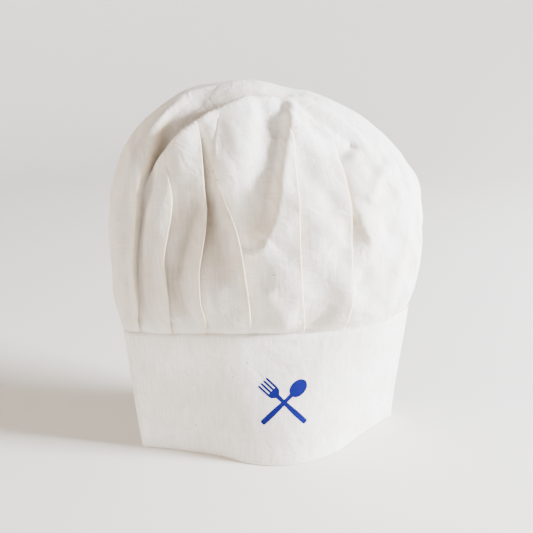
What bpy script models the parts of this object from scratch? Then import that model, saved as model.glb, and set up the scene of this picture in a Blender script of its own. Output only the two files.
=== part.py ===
"""Chef toque: a puffed cotton crown sewn into a folded, stiffened band that closes at the back.

The hat stands upright on the folded bottom edge of its band. Units are metres, +Z is up, the
front faces -Y, and the origin is the middle of the hat's box at the bottom edge.

The band is one strip, so everything on it is placed by three numbers: a station along the strip,
a depth inwards from the band's outer face, and a height. Stations run from the strip's right end
at the back, round the front, to its left end, which lies under the closure tab.
"""
import math

import bmesh
import bpy
from mathutils import Vector

MM = 0.001

# Driving dimensions.
BAND_HEIGHT = 115 * MM
HAT_HEIGHT = 310 * MM
CLOTH = 0.7 * MM            # band cloth, one ply
CROWN_CLOTH = 0.6 * MM
STIFFENER = 0.4 * MM
CHANNEL = 1.2 * MM          # room between the band's two plies
TAPE = 1.0 * MM             # hook tape and loop tape
THREAD = 0.5 * MM
LABEL_CLOTH = 0.3 * MM
GAP = 0.3 * MM              # between neighbouring pieces

# The band's outer face seen from above, in mm. The hat was stored flat, so the two ends of its
# outline are folds: a tight one at the wearer's right, a rounder one at the left.
BOTTOM_OUTLINE = [
    (2, 55.5), (38, 50.5), (80, 28), (107, 11.5), (115.3, 5.8), (117.5, 0), (115, -5.5),
    (106, -10), (75, -29), (44, -49), (8, -57), (-25, -50), (-55, -30), (-90, -13),
    (-110, -5.2), (-116, -3.6), (-118, 0), (-116, 3.6), (-110, 6.5), (-82, 20), (-40, 40),
    (1.5, 50),
]
TOP_OUTLINE = [
    (2, 40.5), (40, 37.5), (84, 25), (114, 12), (123.5, 6.5), (126, 0), (124, -6.5),
    (115, -15.5), (86, -35), (52, -42), (12, -40), (-24, -34), (-60, -25.5), (-96, -17),
    (-118, -8.6), (-124.6, -5), (-126.5, -0.8), (-124.6, 3.2), (-118, 6.6), (-88, 16.5),
    (-44, 28), (1.5, 35),
]
STATION_SPACING = 12 * MM

# The crown: its widest ring, and the peak, which has slumped to one side.
BELLY_HEIGHT = 175 * MM
BELLY_HALF_WIDTH = 132 * MM
BELLY_HALF_DEPTH = 63 * MM
PEAK = Vector((-22 * MM, 6 * MM))
DOME_POWER = 2.4            # above 2 makes the dome squarer than an ellipse
FLARE_POWER = 4             # how quickly the crown swells out above the band
TONGUE = 9 * MM             # the crown's edge, caught between the band's plies
STIFFENER_TOP = BAND_HEIGHT - TONGUE - GAP
LEVELS = [22 * MM, 44 * MM, 66 * MM, 86 * MM, STIFFENER_TOP]    # rows of corners in upright strips
SLIT_TOP = 168 * MM
SLIT_RIGHT = 7 * MM         # the slit's edges, as distances along the strip from its ends
SLIT_LEFT = 4 * MM
BINDING_WIDTH = 6 * MM

# The closure at the back.
TAB_LENGTH = 60 * MM
TAB_INSET = 1 * MM          # the tab stays clear of the floor and of the crown
LOOP_TAPE = (5 * MM, 55 * MM)    # from and to, along the strip from its left end
HOOK_TAPE = (29 * MM, 54 * MM)
TAPE_MARGIN = 11 * MM       # above and below the tapes
STITCH_INSET = 2.5 * MM     # stitches run this far inside a tape's edges

# Depths of the layers below the band's outer face, measured to each layer's middle.
OUTER_PLY = CLOTH / 2
CORE = CLOTH + CHANNEL / 2
INNER_PLY = CLOTH + CHANNEL + CLOTH / 2
BAND_THICKNESS = INNER_PLY + CLOTH / 2
LOOP_DEPTH = -(GAP + TAPE / 2)
HOOK_DEPTH = LOOP_DEPTH - TAPE - GAP
TAB_DEPTH = HOOK_DEPTH - TAPE / 2 - GAP - BAND_THICKNESS    # the tab's outer face


def clear_scene():
    for old in list(bpy.data.objects):
        bpy.data.objects.remove(old, do_unlink=True)


def make_material(name, colour, roughness):
    material = bpy.data.materials.new(name)
    material.use_nodes = True
    shader = material.node_tree.nodes["Principled BSDF"]
    shader.inputs["Base Color"].default_value = (*colour, 1)
    shader.inputs["Roughness"].default_value = roughness
    shader.inputs["Metallic"].default_value = 0
    return material


# ---------------------------------------------------------------- the strip's shape

def outline_point(outline, station):
    """Point on the smooth curve through an outline, in metres; whole stations are its points."""
    points = [Vector(p) * MM for p in outline]
    i = min(int(station), len(points) - 2)
    here, there = points[i], points[i + 1]
    before = points[i - 1] if i > 0 else 2 * here - there
    after = points[i + 2] if i + 2 < len(points) else 2 * there - here
    t = station - i
    slope_here = (there - before) / 2
    slope_there = (after - here) / 2
    return (here * (2 * t ** 3 - 3 * t ** 2 + 1) + slope_here * (t ** 3 - 2 * t ** 2 + t)
            + there * (3 * t ** 2 - 2 * t ** 3) + slope_there * (t ** 3 - t ** 2))


def strip_point(station, height):
    """Point of the band's outer face, seen from above."""
    low = outline_point(BOTTOM_OUTLINE, station)
    high = outline_point(TOP_OUTLINE, station)
    return low.lerp(high, height / BAND_HEIGHT)


LAST_STATION = len(BOTTOM_OUTLINE) - 1


def outward(station, height):
    step = 0.02
    ahead = strip_point(min(station + step, LAST_STATION), height)
    behind = strip_point(max(station - step, 0), height)
    along = (ahead - behind).normalized()
    return Vector((-along.y, along.x))


def band_point(station, depth, height):
    spot = strip_point(station, height) - outward(station, height) * depth
    return Vector((spot.x, spot.y, height))


def evenly(first, last, count):
    return [first + (last - first) * i / count for i in range(count + 1)]


def all_stations():
    """Stations along the whole strip, closer together where the outline's points are."""
    stations = [0.0]
    for i in range(LAST_STATION):
        length = (outline_point(TOP_OUTLINE, i + 1) - outline_point(TOP_OUTLINE, i)).length
        stations += evenly(i, i + 1, max(2, math.ceil(length / STATION_SPACING)))[1:]
    return stations


def station_at(distance, from_left_end=True):
    """The station at a distance along the strip's top edge from one of its ends."""
    step = -0.01 if from_left_end else 0.01
    station = LAST_STATION if from_left_end else 0.0
    walked = 0.0
    while walked < distance:
        walked += (strip_point(station + step, BAND_HEIGHT) - strip_point(station, BAND_HEIGHT)).length
        station += step
    return station


# ---------------------------------------------------------------- the crown's shape

def crown_point(station, depth, height):
    """Point of the crown, from its tongue in the band up to the dome."""
    seam_depth = CORE + depth
    if height <= BAND_HEIGHT + GAP:
        spot = band_point(station, seam_depth, min(height, BAND_HEIGHT))
        return Vector((spot.x, spot.y, height))
    seam = band_point(station, seam_depth, BAND_HEIGHT)
    half_width = max(p[0] for p in TOP_OUTLINE) * MM
    half_depth = max(p[1] for p in TOP_OUTLINE) * MM
    angle = math.atan2(seam.y / half_depth, seam.x / half_width)
    belly = Vector(((BELLY_HALF_WIDTH - depth) * math.cos(angle),
                    (BELLY_HALF_DEPTH - depth) * math.sin(angle)))
    if height < BELLY_HEIGHT:
        rise = (height - BAND_HEIGHT - GAP) / (BELLY_HEIGHT - BAND_HEIGHT - GAP)
        spot = seam.xy.lerp(belly, 1 - (1 - rise) ** FLARE_POWER)
    else:
        rise = (height - BELLY_HEIGHT) / (HAT_HEIGHT - BELLY_HEIGHT)
        spot = belly * math.sqrt(max(0, 1 - rise ** DOME_POWER)) + PEAK * rise ** 2
    return Vector((spot.x, spot.y, height))


# ---------------------------------------------------------------- building pieces

def grid(columns, rows, place):
    """A sheet of faces whose corners place(column, row) puts in space."""
    mesh = bmesh.new()
    bmesh.ops.create_grid(mesh, x_segments=columns, y_segments=rows, size=0.5)
    for vert in mesh.verts:
        column = round((vert.co.x + 0.5) * columns)
        row = round((vert.co.y + 0.5) * rows)
        vert.co = place(column, row)
    return mesh


def make_piece(name, mesh, thickness, material, parent=None):
    """An object from a sheet, thickened half to each side."""
    data = bpy.data.meshes.new(name)
    mesh.to_mesh(data)
    mesh.free()
    data.materials.append(material)
    data.shade_smooth()
    data.set_sharp_from_angle(angle=math.radians(50))
    piece = bpy.data.objects.new(name, data)
    bpy.context.scene.collection.objects.link(piece)
    wall = piece.modifiers.new("thickness", "SOLIDIFY")
    wall.thickness = thickness
    wall.offset = 0
    wall.use_even_offset = True
    if parent:
        piece.parent = parent
        piece.matrix_parent_inverse = parent.matrix_world.inverted()
    return piece


def make_strip(name, stations, section, thickness, material, point=band_point, parent=None):
    """A strip along the band whose section is a list of (depth, height)."""
    mesh = grid(len(stations) - 1, len(section) - 1,
                lambda column, row: point(stations[column], *section[row]))
    return make_piece(name, mesh, thickness, material, parent)


def make_frame(name, stations, heights, depth, material, parent=None):
    """A rectangle of stitching: the border of a grid whose inner faces are taken out."""
    mesh = grid(len(stations) - 1, len(heights) - 1,
                lambda column, row: band_point(stations[column], depth, heights[row]))
    inner = [face for face in mesh.faces if not any(edge.is_boundary for edge in face.edges)]
    bmesh.ops.delete(mesh, geom=inner, context="FACES")
    return make_piece(name, mesh, THREAD, material, parent)


def folded_section(outer_depth, low, high):
    """A strip folded lengthwise: down the outer ply, round a flat-bottomed fold, up the inner."""
    outer = outer_depth + OUTER_PLY
    inner = outer_depth + INNER_PLY
    radius = (inner - outer) / 2
    flat = radius / 2
    floor = low + CLOTH / 2
    levels = [low + radius + CLOTH / 2] + LEVELS + [high]
    down = [(outer, level) for level in reversed(levels)]
    fold = [(outer + radius - flat, floor), (outer + radius + flat, floor)]
    return down + fold + [(inner, level) for level in levels]


def framed(first, last, inset, width, count):
    """Positions for a stitched border: its outer edge, its inner edge, and between."""
    a = first + inset
    b = last - inset
    return [a] + evenly(a + width, b - width, count) + [b]


# ---------------------------------------------------------------- the pieces

def make_band(cotton, canvas):
    stations = all_stations()
    make_strip("band", stations, folded_section(0, 0, BAND_HEIGHT), CLOTH, cotton)
    low = CLOTH + 2 * GAP
    core = [(CORE, height) for height in [low] + LEVELS]
    make_strip("band_stiffener", stations[1:-1], core, STIFFENER, canvas)


def crown_heights():
    """Heights of the crown's rings: tongue, flare, slit top, then closer towards the peak."""
    flare = [BAND_HEIGHT + GAP + rise * MM for rise in (0, 2.5, 7, 15, 28, 40)]
    turns = evenly(0, math.pi / 2, 7)
    dome = [BELLY_HEIGHT + (HAT_HEIGHT - BELLY_HEIGHT) * math.sin(turn) for turn in turns]
    return [BAND_HEIGHT - TONGUE] + flare + [SLIT_TOP] + dome


def make_crown(cotton):
    ends = (station_at(SLIT_RIGHT, from_left_end=False), station_at(SLIT_LEFT))
    stations = [ends[0]] + [s for s in all_stations() if ends[0] < s < ends[1]] + [ends[1]]
    heights = crown_heights()
    slit_row = heights.index(SLIT_TOP)
    closing_column = len(stations) - 1

    def place(column, row):
        return crown_point(stations[column % len(stations)], 0, heights[row])

    mesh = grid(len(stations), len(heights) - 1, place)
    mesh.faces.ensure_lookup_table()
    columns = len(stations)
    slit = [face for face in mesh.faces
            if face.index % columns == closing_column and face.index // columns < slit_row]
    bmesh.ops.delete(mesh, geom=slit, context="FACES")
    bmesh.ops.remove_doubles(mesh, verts=mesh.verts, dist=0.01 * MM)
    make_piece("crown", mesh, CROWN_CLOTH, cotton)
    return ends


def make_slit_finish(ends, cotton, thread):
    heights = [h for h in crown_heights() if BAND_HEIGHT + BINDING_WIDTH < h < SLIT_TOP - GAP]
    clear = CROWN_CLOTH / 2 + GAP + CLOTH / 4
    section = [(clear * (3 - 2 * i / (len(heights) - 1)), h) for i, h in enumerate(heights)]
    right = evenly(ends[0], station_at(SLIT_RIGHT + BINDING_WIDTH, from_left_end=False), 2)
    left = evenly(station_at(SLIT_LEFT + BINDING_WIDTH), ends[1], 2)
    make_strip("slit_binding_right", right, section, CLOTH / 2, cotton, crown_point)
    make_strip("slit_binding_left", left, section, CLOTH / 2, cotton, crown_point)
    tack = [crown_point(end, 0, SLIT_TOP + 2 * MM) for end in ends]
    middle = (tack[0] + tack[1]) / 2
    half = Vector((8 * MM, 0.4 * MM, 0.9 * MM))
    mesh = bmesh.new()
    bmesh.ops.create_cube(mesh, size=2)
    bmesh.ops.scale(mesh, vec=half, verts=mesh.verts)
    clear = CROWN_CLOTH / 2 + GAP + half.y
    inside = Vector((middle.x, min(tack[0].y, tack[1].y) - clear - 0.1 * MM, middle.z))
    bmesh.ops.translate(mesh, vec=inside, verts=mesh.verts)
    data = bpy.data.meshes.new("slit_bartack")
    mesh.to_mesh(data)
    mesh.free()
    data.materials.append(thread)
    bartack = bpy.data.objects.new("slit_bartack", data)
    bpy.context.scene.collection.objects.link(bartack)


def make_tab_hinge():
    """An empty on the line where the tab bends away from the band's right end."""
    hinge = bpy.data.objects.new("tab_hinge", None)
    middle = strip_point(0, BAND_HEIGHT / 2)
    lean = strip_point(0, BAND_HEIGHT) - strip_point(0, 0)
    hinge.location = (middle.x - GAP, middle.y, BAND_HEIGHT / 2)
    hinge.rotation_euler.x = -math.atan2(lean.y, BAND_HEIGHT)
    bpy.context.scene.collection.objects.link(hinge)
    bpy.context.view_layer.update()
    return hinge


def make_closure(cotton, canvas, hook, loop, thread):
    hinge = make_tab_hinge()
    tab = evenly(station_at(TAB_LENGTH), LAST_STATION, 8)
    low = TAB_INSET
    high = BAND_HEIGHT - TAB_INSET
    make_strip("closure_tab", tab, folded_section(TAB_DEPTH, low, high), CLOTH, cotton, parent=hinge)
    core_depth = TAB_DEPTH + CORE
    core_low = low + CLOTH + 2 * GAP
    core_high = high - 3 * MM
    core = [(core_depth, height) for height in [core_low] + LEVELS + [core_high]]
    make_strip("tab_stiffener", tab[:-1], core, STIFFENER, canvas, parent=hinge)

    tape_low = TAPE_MARGIN
    tape_high = BAND_HEIGHT - TAPE_MARGIN
    heights = [tape_low] + LEVELS[:-1] + [tape_high]
    loops = evenly(station_at(LOOP_TAPE[1]), station_at(LOOP_TAPE[0]), 6)
    make_strip("loop_tape", loops, [(LOOP_DEPTH, h) for h in heights], TAPE, loop)
    hooks = evenly(station_at(HOOK_TAPE[1]), station_at(HOOK_TAPE[0]), 4)
    make_strip("hook_tape", hooks, [(HOOK_DEPTH, h) for h in heights], TAPE, hook, parent=hinge)

    rows = framed(tape_low, tape_high, STITCH_INSET, THREAD, 4)
    inside = BAND_THICKNESS + GAP + THREAD / 2
    outside = TAB_DEPTH - GAP - THREAD / 2
    loop_sides = framed(LOOP_TAPE[0], LOOP_TAPE[1], STITCH_INSET, THREAD, 5)
    hook_sides = framed(HOOK_TAPE[0], HOOK_TAPE[1], STITCH_INSET, THREAD, 3)
    loop_stations = [station_at(d) for d in loop_sides]
    hook_stations = [station_at(d) for d in hook_sides]
    make_frame("loop_tape_stitching", loop_stations, rows, inside, thread)
    make_frame("hook_tape_stitching", hook_stations, rows, outside, thread, parent=hinge)


def make_band_trim(thread, satin):
    depth = BAND_THICKNESS + GAP + THREAD / 2
    seam = BAND_HEIGHT - 4 * MM
    line = [(depth, seam - THREAD / 2), (depth, seam + THREAD / 2)]
    make_strip("band_seam_stitching", all_stations()[1:-1], line, THREAD, thread)
    label = evenly(station_at(28 * MM, from_left_end=False),
                   station_at(58 * MM, from_left_end=False), 3)
    near = BAND_THICKNESS + GAP + LABEL_CLOTH / 2
    far = near + 3 * LABEL_CLOTH
    top = seam - 2 * MM
    low = top - 28 * MM
    fold = [(near, top), (near, (top + low) / 2), (near, low), ((near + far) / 2, low - LABEL_CLOTH),
            (far, low), (far, (top + low) / 2), (far, top)]
    make_strip("care_label", label, fold, LABEL_CLOTH, satin)


def main():
    clear_scene()
    cotton = make_material("unbleached cotton", (0.80, 0.77, 0.71), 0.95)
    canvas = make_material("stiffening canvas", (0.72, 0.70, 0.66), 0.9)
    hook = make_material("hook tape nylon", (0.75, 0.74, 0.71), 0.5)
    loop = make_material("loop tape nylon", (0.78, 0.77, 0.74), 0.9)
    thread = make_material("polyester thread", (0.80, 0.78, 0.73), 0.6)
    satin = make_material("satin label", (0.86, 0.86, 0.85), 0.4)
    make_band(cotton, canvas)
    ends = make_crown(cotton)
    make_slit_finish(ends, cotton, thread)
    make_closure(cotton, canvas, hook, loop, thread)
    make_band_trim(thread, satin)


main()
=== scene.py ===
# %% [markdown]
# # A pleated cotton chef's toque
# The hat is two pieces of unbleached cotton: a strip folded lengthwise over a stiffener, which is
# the band, and a big soft disc pleated into the band's top edge, which is the crown. This script
# dresses the plain solids of the frame in cloth, thread and tape.

# %% Load the frame
import math

import bmesh
import bpy
import numpy as np
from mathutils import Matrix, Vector


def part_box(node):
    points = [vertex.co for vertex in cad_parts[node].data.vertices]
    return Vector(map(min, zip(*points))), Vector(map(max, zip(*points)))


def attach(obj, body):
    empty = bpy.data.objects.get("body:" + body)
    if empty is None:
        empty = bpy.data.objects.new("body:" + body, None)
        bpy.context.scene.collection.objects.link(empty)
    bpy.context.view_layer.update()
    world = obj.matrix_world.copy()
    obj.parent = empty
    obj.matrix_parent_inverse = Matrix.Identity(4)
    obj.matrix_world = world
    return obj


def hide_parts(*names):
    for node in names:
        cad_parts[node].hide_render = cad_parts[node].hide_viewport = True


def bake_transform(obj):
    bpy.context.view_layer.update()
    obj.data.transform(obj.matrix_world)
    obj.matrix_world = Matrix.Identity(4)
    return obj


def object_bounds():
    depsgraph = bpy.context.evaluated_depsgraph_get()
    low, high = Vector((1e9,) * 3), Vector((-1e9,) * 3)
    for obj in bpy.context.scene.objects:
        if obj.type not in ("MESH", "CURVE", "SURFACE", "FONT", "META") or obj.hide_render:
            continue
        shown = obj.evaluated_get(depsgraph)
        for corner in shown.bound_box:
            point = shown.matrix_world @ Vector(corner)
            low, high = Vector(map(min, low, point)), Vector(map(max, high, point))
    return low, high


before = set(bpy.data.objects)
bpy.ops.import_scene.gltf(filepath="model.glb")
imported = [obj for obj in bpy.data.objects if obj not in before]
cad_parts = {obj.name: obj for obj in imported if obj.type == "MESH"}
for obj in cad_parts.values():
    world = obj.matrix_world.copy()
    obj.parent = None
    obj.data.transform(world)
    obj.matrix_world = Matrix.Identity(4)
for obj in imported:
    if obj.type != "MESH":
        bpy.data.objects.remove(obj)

MM = 0.001
cad_box = [list(corner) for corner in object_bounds()]
hat_height = cad_box[1][2]
print("CAD box, mm:", [[round(v / MM, 1) for v in corner] for corner in cad_box])

# %% [markdown]
# ## Camera, floor and light
# The hat is seen from a little above and slightly from its right, with a normal lens close by, so
# the band's front edge shows its curve. A large soft lamp on the right is the window; the rest is
# fill. A sun lamp would be simpler, but its shadows are hard. The floor could be a plane with a
# wall behind it; a disc of paper that turns up all round has no corner from any side, and it is
# one line spun about the vertical.

# %% Camera, floor and light
LENS_MM = 43.9
CAMERA_AZIMUTH = math.radians(-12.7)
CAMERA_ELEVATION = math.radians(20)
CAMERA_DISTANCE = 0.548
aim = Vector((-5 * MM, 0, 0.518 * hat_height))
back = Vector((math.sin(CAMERA_AZIMUTH) * math.cos(CAMERA_ELEVATION),
               -math.cos(CAMERA_AZIMUTH) * math.cos(CAMERA_ELEVATION),
               math.sin(CAMERA_ELEVATION)))
camera = bpy.data.objects.new("camera", bpy.data.cameras.new("camera"))
camera.data.lens = LENS_MM
camera.location = aim + back * CAMERA_DISTANCE
camera.rotation_euler = back.to_track_quat("Z", "Y").to_euler()
bpy.context.scene.collection.objects.link(camera)
bpy.context.scene.camera = camera
print("camera, mm:", [round(v / MM) for v in camera.location])


def linear(hex_colour, alpha=1.0):
    """An sRGB hex colour as the linear RGBA that Blender's sockets take."""
    values = [int(hex_colour[i:i + 2], 16) / 255 for i in (0, 2, 4)]
    return (*(v / 12.92 if v <= 0.04045 else ((v + 0.055) / 1.055) ** 2.4 for v in values), alpha)


def add_lamp(name, place, size, watts, colour):
    """An area lamp that looks at the hat's middle."""
    data = bpy.data.lights.new(name, "AREA")
    data.shape = "DISK"
    data.size = size
    data.energy = watts
    data.color = linear(colour)[:3]
    lamp = bpy.data.objects.new(name, data)
    lamp.location = place
    lamp.rotation_euler = (lamp.location - aim).to_track_quat("Z", "Y").to_euler()
    bpy.context.scene.collection.objects.link(lamp)


def mesh_object(name, mesh, material, smooth=True):
    """An object in the scene made from a finished bmesh."""
    data = bpy.data.meshes.new(name)
    mesh.to_mesh(data)
    mesh.free()
    data.materials.append(material)
    if smooth:
        data.shade_smooth()
    piece = bpy.data.objects.new(name, data)
    bpy.context.scene.collection.objects.link(piece)
    return piece


add_lamp("window", Vector((1.85, -0.72, 0.80)), 0.5, 350, "EAF1FF")
add_lamp("room", Vector((-1.9, -0.1, 0.8)), 0.6, 20, "FFE8D6")
add_lamp("ceiling", Vector((0.1, -0.2, 2.2)), 1.6, 5, "FFF6EE")

world = bpy.data.worlds.new("pale room")
world.use_nodes = True
world.node_tree.nodes["Background"].inputs["Color"].default_value = linear("F3E6D8")
world.node_tree.nodes["Background"].inputs["Strength"].default_value = 0.2
bpy.context.scene.world = world

# A disc of paper that turns up all round, so there is no edge behind the hat from any side.
SWEEP_FLAT = 1.2
SWEEP_BEND = 1.3
SWEEP_WALL = 0.6
sweep = bmesh.new()
half_section = [(0, 0)] + [(SWEEP_FLAT + SWEEP_BEND * math.sin(t), SWEEP_BEND * (1 - math.cos(t)))
                           for t in np.linspace(0, math.pi / 2, 17)]
half_section.append((SWEEP_FLAT + SWEEP_BEND, SWEEP_BEND + SWEEP_WALL))
section_verts = [sweep.verts.new((r, 0, z)) for r, z in half_section]
section_edges = [sweep.edges.new(pair) for pair in zip(section_verts, section_verts[1:])]
bmesh.ops.spin(sweep, geom=section_verts + section_edges, axis=(0, 0, 1), cent=(0, 0, 0),
               angle=2 * math.pi, steps=64, use_merge=True)
bmesh.ops.remove_doubles(sweep, verts=sweep.verts, dist=0.01 * MM)
bmesh.ops.recalc_face_normals(sweep, faces=sweep.faces)
paper = bpy.data.materials.new("pale studio paper")
paper.use_nodes = True
paper.node_tree.nodes["Principled BSDF"].inputs["Base Color"].default_value = linear("E0DAD0")
paper.node_tree.nodes["Principled BSDF"].inputs["Roughness"].default_value = 0.9
floor = mesh_object("floor", sweep, paper)

# %% [markdown]
# ## Cloth materials
# The hat is calico: plain-weave cotton, washed but not bleached. Close up it is a grid of slightly
# uneven threads, with a few thick slubs and tiny brown seed flecks. A cream painted along the
# folds' edges stands in for the warm light there, and grey painted deep in the folds is painted
# shade. A picture of cloth could be laid on it; noises and waves on the cloth's own UV map stay
# sharp from close by and run with the threads. First come two helpers, one for a node and one for
# the shader that every finish starts from.

# %% Start a material
def add(tree, kind, settings=None, inputs=None):
    """A node with its settings; an input is a value, or another node's output to link."""
    node = tree.nodes.new(kind)
    for name, value in (settings or {}).items():
        setattr(node, name, value)
    for name, value in (inputs or {}).items():
        if isinstance(value, bpy.types.NodeSocket):
            tree.links.new(value, node.inputs[name])
        else:
            node.inputs[name].default_value = value
    return node


def new_material(name, colour, roughness, settings=None):
    """A Principled material; what is the same all over is set on the shader's own sockets."""
    material = bpy.data.materials.new(name)
    material.use_nodes = True
    shader = material.node_tree.nodes["Principled BSDF"]
    shader.inputs["Base Color"].default_value = linear(colour)
    shader.inputs["Roughness"].default_value = roughness
    for socket, value in (settings or {}).items():
        shader.inputs[socket].default_value = value
    return material, material.node_tree, shader


print("colour of the paper, linear:", [round(v, 2) for v in linear("E0DAD0")])

# %% [markdown]
# ## Calico
# The pattern is a stack: warm light painted along the folds' edges, clouds of grey and cream,
# uneven threads, slubs, flecks, and painted shade deep in a fold. Each layer is a noise with a size
# in millimetres across and along the warp, so all of them are made by one loop. The threads are
# really 0.4 mm apart; they are drawn at 0.8 mm so that they show.

# %% Weave the calico
THREAD_PITCH = 0.8 * MM
FLECK_SPACING = 12.5 * MM
WAVES_PER_METRE = 0.314          # a wave texture of this scale has one band to a metre
# What, its size in mm across and along the warp, detail, roughness and distortion.
CALICO_NOISES = [("clouds", 38.46, 38.46, 5.0, 0.6, 0.0),
                 ("streaks", 1.613, 22.22, 4.0, 0.5, 0.0),
                 ("slubs", 13.33, 1.111, 2.0, 0.5, 0.0),
                 ("crumples", 13.33, 13.33, 3.0, 0.5, 0.6)]
# What, the range it is taken from, the range it becomes, and the curve between them.
CALICO_RANGES = [("clouds", 0.36, 0.62, 0.0, 0.7, "LINEAR"),
                 ("streaks", 0.3, 0.7, 0.86, 1.04, "LINEAR"),
                 ("slubs", 0.6, 0.74, 0.0, 1.0, "SMOOTHSTEP"),
                 ("flecks", 0.075, 0.035, 0.0, 1.0, "SMOOTHSTEP")]


def calico(name, colour, fold_light_colour, cloud_colour, crumple):
    """Unbleached plain-weave cotton on a UV map in metres, with painted warm light on folds' edges and
    painted shade deep in folds.
    """
    material, tree, shader = new_material(name, colour, 0.95, {
        "Sheen Weight": 0.15, "Sheen Roughness": 0.6, "Specular IOR Level": 0.2})
    cloth = add(tree, "ShaderNodeUVMap", {"uv_map": "cloth"}).outputs["UV"]
    # Two attributes on the cloth: warm light painted along folds' edges, and painted shade.
    painted_fold_light, shade = (add(tree, "ShaderNodeAttribute", {"attribute_name": what}).outputs["Fac"]
                   for what in ("painted_fold_light", "shade"))
    noise, amount = {}, {}
    for what, across, along, detail, roughness, distortion in CALICO_NOISES:
        place = add(tree, "ShaderNodeMapping", None,
                    {"Vector": cloth, "Scale": (1 / (across * MM), 1 / (along * MM), 1)})
        noise[what] = add(tree, "ShaderNodeTexNoise", None, {
            "Vector": place.outputs["Vector"], "Scale": 1.0, "Detail": detail,
            "Roughness": roughness, "Distortion": distortion}).outputs["Fac"]
    seeds = add(tree, "ShaderNodeTexVoronoi", None, {"Vector": cloth, "Scale": 1 / FLECK_SPACING})
    noise["flecks"] = seeds.outputs["Distance"]
    for what, low, high, least, most, curve in CALICO_RANGES:
        amount[what] = add(tree, "ShaderNodeMapRange", {"interpolation_type": curve}, {
            "Value": noise[what], "From Min": low, "From Max": high, "To Min": least,
            "To Max": most}).outputs["Result"]
    rare = add(tree, "ShaderNodeMath", {"operation": "GREATER_THAN"},
               {0: seeds.outputs["Color"], 1: 0.7})
    fleck = add(tree, "ShaderNodeMath", {"operation": "MULTIPLY"},
                {0: amount["flecks"], 1: rare.outputs["Value"]})

    # Painted warm light along the folds' edges, clouds of grey and cream, uneven warp threads, slubs
    # and seed flecks, then painted shade that darkens the cloth deep in folds and on the folds' flanks.
    tint = linear(colour)
    for factor, layer, blend in [
            (painted_fold_light, fold_light_colour, "MIX"), (amount["clouds"], cloud_colour, "MIX"),
            (amount["streaks"], None, "SCALE"), (amount["slubs"], "D6CAB4", "MIX"),
            (fleck.outputs["Value"], "9C8466", "MIX"), (shade, "CFC8C0", "MULTIPLY")]:
        if layer is None:
            tint = add(tree, "ShaderNodeVectorMath", {"operation": blend},
                       {0: tint, "Scale": factor}).outputs[0]
        else:
            tint = add(tree, "ShaderNodeMix", {"data_type": "RGBA", "blend_type": blend},
                       {"Factor": factor, 6: tint, 7: linear(layer)}).outputs[2]
    tree.links.new(tint, shader.inputs["Base Color"])

    # Relief: the grid of threads, then the small crumples of cloth that has been handled.
    warp, weft = (add(tree, "ShaderNodeTexWave", {"bands_direction": way}, {
        "Vector": cloth, "Scale": WAVES_PER_METRE / THREAD_PITCH, "Distortion": 1.2, "Detail": 2.0,
        "Detail Scale": 0.6}).outputs["Fac"] for way in "XY")
    height = add(tree, "ShaderNodeMath", {"operation": "MULTIPLY"}, {0: warp, 1: weft})
    for source, share in ((amount["slubs"], 0.7), (noise["streaks"], 1.2)):
        height = add(tree, "ShaderNodeMath", {"operation": "MULTIPLY_ADD"},
                     {0: source, 1: share, 2: height.outputs["Value"]})
    threads = add(tree, "ShaderNodeBump", None,
                  {"Height": height.outputs["Value"], "Strength": 0.3, "Distance": 0.25 * MM})
    handled = add(tree, "ShaderNodeBump", None,
                  {"Height": noise["crumples"], "Strength": crumple, "Distance": 3 * MM,
                   "Normal": threads.outputs["Normal"]})
    tree.links.new(handled.outputs["Normal"], shader.inputs["Normal"])
    return material


# Washed and handled: matt, with small crumples that break up the light.
crown_calico = calico("calico, soft", "ECE7E0", "E4D2B0", "DDD1BF", 0.6)
# The same cloth ironed over its stiffener: flatter, and a little lighter.
band_calico = calico("calico, pressed over stiffener", "EDE8E1", "E6D8BE", "DFD5C6", 0.4)
print("calico threads drawn", THREAD_PITCH / MM, "mm apart")

# %% [markdown]
# ## Trimmings
# Nylon hook tape is a moulded plastic with a dull shine; loop tape is a brushed nylon pile that
# scatters light like felt. Polyester thread is two plies twisted together, which shows as slanting
# ridges. Buckram is coarse open cotton soaked in size, and the label is woven satin. The print is
# pigment ink that lies on the threads and lets the weave through. Each could have nodes of its own;
# they differ in a few values only, so one function makes them all.

# %% Trimmings' materials
def trimming(name, dark, light, roughness, settings, mottle, relief, strength=0.5, ridges=None,
             on_cloth=False, lean=0.0):
    """A finish mottled from dark to light; its relief is its grain, or ridges of thread."""
    material, tree, shader = new_material(name, light, roughness, settings)
    if on_cloth:
        place = add(tree, "ShaderNodeUVMap", {"uv_map": "cloth"}).outputs["UV"]
    else:
        place = add(tree, "ShaderNodeTexCoord").outputs["Object"]
    place = add(tree, "ShaderNodeMapping", None,
                {"Vector": place, "Rotation": (0.0, lean, 0.0)}).outputs["Vector"]
    height = add(tree, "ShaderNodeTexNoise", None,
                 {"Vector": place, "Scale": 1 / mottle, "Detail": 5.0}).outputs["Fac"]
    spread = add(tree, "ShaderNodeMapRange", None,
                 {"Value": height, "From Min": 0.3, "From Max": 0.7})
    mix = add(tree, "ShaderNodeMix", {"data_type": "RGBA"},
              {"Factor": spread.outputs["Result"], 6: linear(dark), 7: linear(light)})
    tree.links.new(mix.outputs[2], shader.inputs["Base Color"])
    if ridges:
        pitch, ways, distortion, detail_scale = ridges
        bands = [add(tree, "ShaderNodeTexWave", {"bands_direction": way}, {
            "Vector": place, "Scale": WAVES_PER_METRE / pitch, "Distortion": distortion,
            "Detail Scale": detail_scale}).outputs["Fac"] for way in ways]
        height = bands[0] if len(bands) == 1 else add(
            tree, "ShaderNodeMath", {"operation": "MULTIPLY"},
            {0: bands[0], 1: bands[1]}).outputs["Value"]
    grain = add(tree, "ShaderNodeBump", None,
                {"Height": height, "Distance": relief, "Strength": strength})
    tree.links.new(grain.outputs["Normal"], shader.inputs["Normal"])
    return material


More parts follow.
